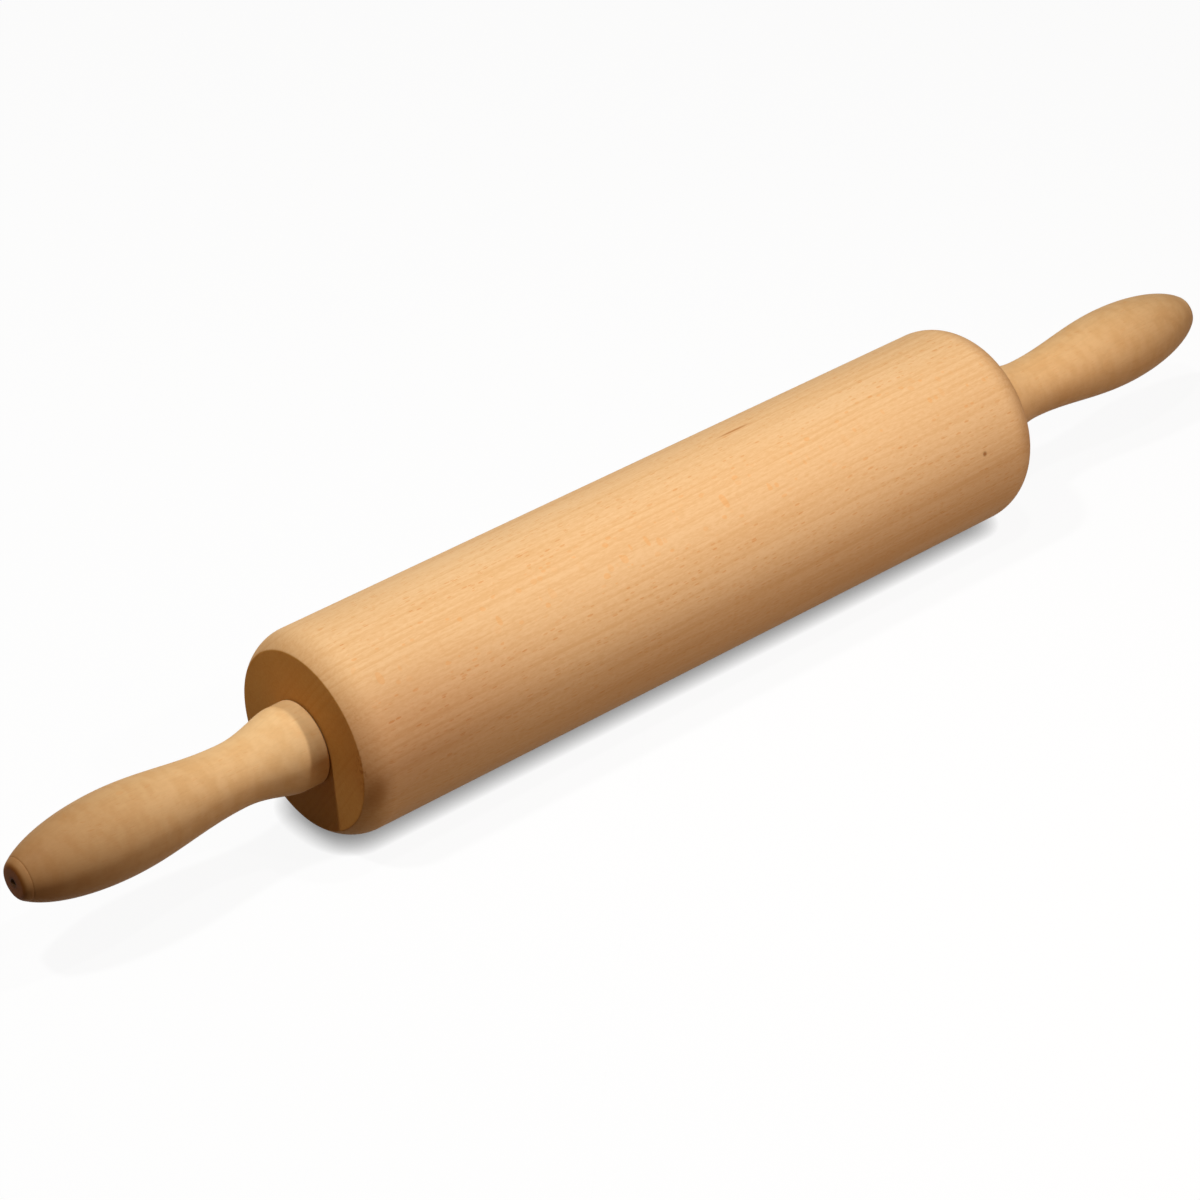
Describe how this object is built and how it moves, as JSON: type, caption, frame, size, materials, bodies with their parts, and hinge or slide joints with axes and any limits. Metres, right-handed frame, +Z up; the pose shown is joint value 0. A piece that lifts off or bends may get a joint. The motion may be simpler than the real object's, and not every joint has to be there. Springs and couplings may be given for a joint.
{
  "type": "rolling pin",
  "caption": "Turned beech rolling pin: a free-spinning roller with rounded edges on ball bearings, between two slim handles fixed on one steel axle.",
  "frame": {"origin": "middle of the axle, halfway along the roller and on its axis", "axes": "+X along the axle from the left handle to the right handle, +Z up, one roller facet down"},
  "size_m": [0.4374, 0.0598, 0.0598],
  "materials": {
    "roller_beech": "fine-sanded bare beech with straight grain",
    "handle_beech": "smooth turned beech, lightly sealed",
    "axle_steel": "drawn bright steel rod",
    "bearing_steel": "ground bearing steel",
    "ball_steel": "polished steel balls",
    "shield_steel": "pressed sheet steel",
    "nylon": "natural moulded nylon"
  },
  "bodies": {
    "spindle": {"axle": "axle_steel", "left_handle": "handle_beech", "left_spacer": "nylon", "left_inner_ring": "bearing_steel", "right_handle": "handle_beech", "right_spacer": "nylon", "right_inner_ring": "bearing_steel"},
    "roller": {"roller": "roller_beech", "left_outer_ring": "bearing_steel", "left_inner_shield": "shield_steel", "left_outer_shield": "shield_steel", "right_outer_ring": "bearing_steel", "right_inner_shield": "shield_steel", "right_outer_shield": "shield_steel"},
    "left_cage": {"left_ball_cage": "nylon"},
    "left_ball_1": {"left_ball_1": "ball_steel"},
    "left_ball_2": {"left_ball_2": "ball_steel"},
    "left_ball_3": {"left_ball_3": "ball_steel"},
    "left_ball_4": {"left_ball_4": "ball_steel"},
    "left_ball_5": {"left_ball_5": "ball_steel"},
    "left_ball_6": {"left_ball_6": "ball_steel"},
    "left_ball_7": {"left_ball_7": "ball_steel"},
    "right_cage": {"right_ball_cage": "nylon"},
    "right_ball_1": {"right_ball_1": "ball_steel"},
    "right_ball_2": {"right_ball_2": "ball_steel"},
    "right_ball_3": {"right_ball_3": "ball_steel"},
    "right_ball_4": {"right_ball_4": "ball_steel"},
    "right_ball_5": {"right_ball_5": "ball_steel"},
    "right_ball_6": {"right_ball_6": "ball_steel"},
    "right_ball_7": {"right_ball_7": "ball_steel"}
  },
  "joints": [
    {"name": "roller_spin", "type": "hinge", "parent": "spindle", "child": "roller", "pos_m": [0, 0, 0], "axis": [1, 0, 0], "continuous": true},
    {"name": "left_cage_spin", "type": "hinge", "parent": "spindle", "child": "left_cage", "pos_m": [-0.1202, 0, 0], "axis": [1, 0, 0], "continuous": true},
    {"name": "left_ball_1_spin", "type": "hinge", "parent": "left_cage", "child": "left_ball_1", "pos_m": [-0.1202, 0, 0.0075], "axis": [1, 0, 0], "continuous": true},
    {"name": "left_ball_2_spin", "type": "hinge", "parent": "left_cage", "child": "left_ball_2", "pos_m": [-0.1202, -0.00586, 0.00468], "axis": [1, 0, 0], "continuous": true},
    {"name": "left_ball_3_spin", "type": "hinge", "parent": "left_cage", "child": "left_ball_3", "pos_m": [-0.1202, -0.00731, -0.00167], "axis": [1, 0, 0], "continuous": true},
    {"name": "left_ball_4_spin", "type": "hinge", "parent": "left_cage", "child": "left_ball_4", "pos_m": [-0.1202, -0.00325, -0.00676], "axis": [1, 0, 0], "continuous": true},
    {"name": "left_ball_5_spin", "type": "hinge", "parent": "left_cage", "child": "left_ball_5", "pos_m": [-0.1202, 0.00325, -0.00676], "axis": [1, 0, 0], "continuous": true},
    {"name": "left_ball_6_spin", "type": "hinge", "parent": "left_cage", "child": "left_ball_6", "pos_m": [-0.1202, 0.00731, -0.00167], "axis": [1, 0, 0], "continuous": true},
    {"name": "left_ball_7_spin", "type": "hinge", "parent": "left_cage", "child": "left_ball_7", "pos_m": [-0.1202, 0.00586, 0.00468], "axis": [1, 0, 0], "continuous": true},
    {"name": "right_cage_spin", "type": "hinge", "parent": "spindle", "child": "right_cage", "pos_m": [0.1202, 0, 0], "axis": [1, 0, 0], "continuous": true},
    {"name": "right_ball_1_spin", "type": "hinge", "parent": "right_cage", "child": "right_ball_1", "pos_m": [0.1202, 0, 0.0075], "axis": [1, 0, 0], "continuous": true},
    {"name": "right_ball_2_spin", "type": "hinge", "parent": "right_cage", "child": "right_ball_2", "pos_m": [0.1202, 0.00586, 0.00468], "axis": [1, 0, 0], "continuous": true},
    {"name": "right_ball_3_spin", "type": "hinge", "parent": "right_cage", "child": "right_ball_3", "pos_m": [0.1202, 0.00731, -0.00167], "axis": [1, 0, 0], "continuous": true},
    {"name": "right_ball_4_spin", "type": "hinge", "parent": "right_cage", "child": "right_ball_4", "pos_m": [0.1202, 0.00325, -0.00676], "axis": [1, 0, 0], "continuous": true},
    {"name": "right_ball_5_spin", "type": "hinge", "parent": "right_cage", "child": "right_ball_5", "pos_m": [0.1202, -0.00325, -0.00676], "axis": [1, 0, 0], "continuous": true},
    {"name": "right_ball_6_spin", "type": "hinge", "parent": "right_cage", "child": "right_ball_6", "pos_m": [0.1202, -0.00731, -0.00167], "axis": [1, 0, 0], "continuous": true},
    {"name": "right_ball_7_spin", "type": "hinge", "parent": "right_cage", "child": "right_ball_7", "pos_m": [0.1202, -0.00586, 0.00468], "axis": [1, 0, 0], "continuous": true}
  ],
  "couplings": [
    {"joint": "left_cage_spin", "follows": "roller_spin", "ratio": 0.63227},
    {"joint": "left_ball_1_spin", "follows": "roller_spin", "ratio": 1.7578},
    {"joint": "left_ball_2_spin", "follows": "roller_spin", "ratio": 1.7578},
    {"joint": "left_ball_3_spin", "follows": "roller_spin", "ratio": 1.7578},
    {"joint": "left_ball_4_spin", "follows": "roller_spin", "ratio": 1.7578},
    {"joint": "left_ball_5_spin", "follows": "roller_spin", "ratio": 1.7578},
    {"joint": "left_ball_6_spin", "follows": "roller_spin", "ratio": 1.7578},
    {"joint": "left_ball_7_spin", "follows": "roller_spin", "ratio": 1.7578},
    {"joint": "right_cage_spin", "follows": "roller_spin", "ratio": 0.63227},
    {"joint": "right_ball_1_spin", "follows": "roller_spin", "ratio": 1.7578},
    {"joint": "right_ball_2_spin", "follows": "roller_spin", "ratio": 1.7578},
    {"joint": "right_ball_3_spin", "follows": "roller_spin", "ratio": 1.7578},
    {"joint": "right_ball_4_spin", "follows": "roller_spin", "ratio": 1.7578},
    {"joint": "right_ball_5_spin", "follows": "roller_spin", "ratio": 1.7578},
    {"joint": "right_ball_6_spin", "follows": "roller_spin", "ratio": 1.7578},
    {"joint": "right_ball_7_spin", "follows": "roller_spin", "ratio": 1.7578}
  ]
}
